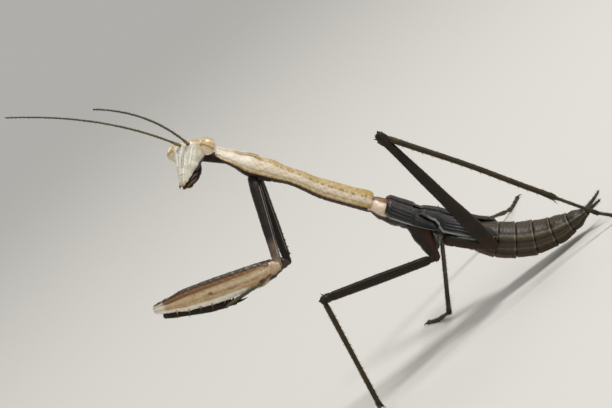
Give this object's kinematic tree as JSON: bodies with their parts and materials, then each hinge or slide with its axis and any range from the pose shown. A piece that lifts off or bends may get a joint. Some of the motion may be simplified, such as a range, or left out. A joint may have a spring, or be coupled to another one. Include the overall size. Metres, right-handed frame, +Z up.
{
  "type": "praying mantis",
  "caption": "Life-size praying mantis nymph standing on its walking legs, fore body reared, grasping forelegs folded, head turned.",
  "frame": {"origin": "on the floor, under the middle of the model's box", "axes": "+Z up from the floor; the head and the folded forelegs point to -X, the animal's left side faces -Y"},
  "size_m": [0.0624, 0.0678, 0.0647],
  "materials": {
    "pale_cuticle": "satin, cream to tan insect cuticle",
    "dark_cuticle": "satin, near-black brown insect cuticle",
    "olive_cuticle": "satin, olive-brown insect cuticle",
    "wing_pad": "satin, bluish grey veined wing pad",
    "eye": "glossy, banded tan compound eye",
    "foreleg_tan": "satin, tan and ivory insect cuticle"
  },
  "bodies": {
    "root": {"abdomen_1": "olive_cuticle", "abdomen_2": "olive_cuticle", "abdomen_3": "olive_cuticle", "abdomen_4": "olive_cuticle", "abdomen_5": "olive_cuticle", "abdomen_6": "olive_cuticle", "abdomen_7": "olive_cuticle", "abdomen_8": "olive_cuticle", "antenna_left": "olive_cuticle", "antenna_right": "olive_cuticle", "cercus_left": "olive_cuticle", "cercus_right": "olive_cuticle", "eye_left": "eye", "eye_right": "eye", "foreleg_left_coxa": "dark_cuticle", "foreleg_left_femur": "foreleg_tan", "foreleg_left_tarsus": "dark_cuticle", "foreleg_left_tibia": "dark_cuticle", "foreleg_left_trochanter": "foreleg_tan", "foreleg_right_coxa": "dark_cuticle", "foreleg_right_femur": "foreleg_tan", "foreleg_right_tarsus": "dark_cuticle", "foreleg_right_tibia": "dark_cuticle", "foreleg_right_trochanter": "foreleg_tan", "forewing_pad_left": "wing_pad", "forewing_pad_right": "wing_pad", "head": "pale_cuticle", "hindleg_left_coxa": "dark_cuticle", "hindleg_left_femur": "dark_cuticle", "hindleg_left_tarsus": "dark_cuticle", "hindleg_left_tibia": "dark_cuticle", "hindleg_right_coxa": "dark_cuticle", "hindleg_right_femur": "dark_cuticle", "hindleg_right_tarsus": "dark_cuticle", "hindleg_right_tibia": "dark_cuticle", "hindwing_pad_left": "wing_pad", "hindwing_pad_right": "wing_pad", "mesothorax": "dark_cuticle", "metathorax": "dark_cuticle", "midleg_left_coxa": "dark_cuticle", "midleg_left_femur": "dark_cuticle", "midleg_left_tarsus": "dark_cuticle", "midleg_left_tibia": "dark_cuticle", "midleg_right_coxa": "dark_cuticle", "midleg_right_femur": "dark_cuticle", "midleg_right_tarsus": "dark_cuticle", "midleg_right_tibia": "dark_cuticle", "mouthparts": "dark_cuticle", "neck": "dark_cuticle", "pronotum": "pale_cuticle", "prosternum": "dark_cuticle"}
  },
  "joints": []
}
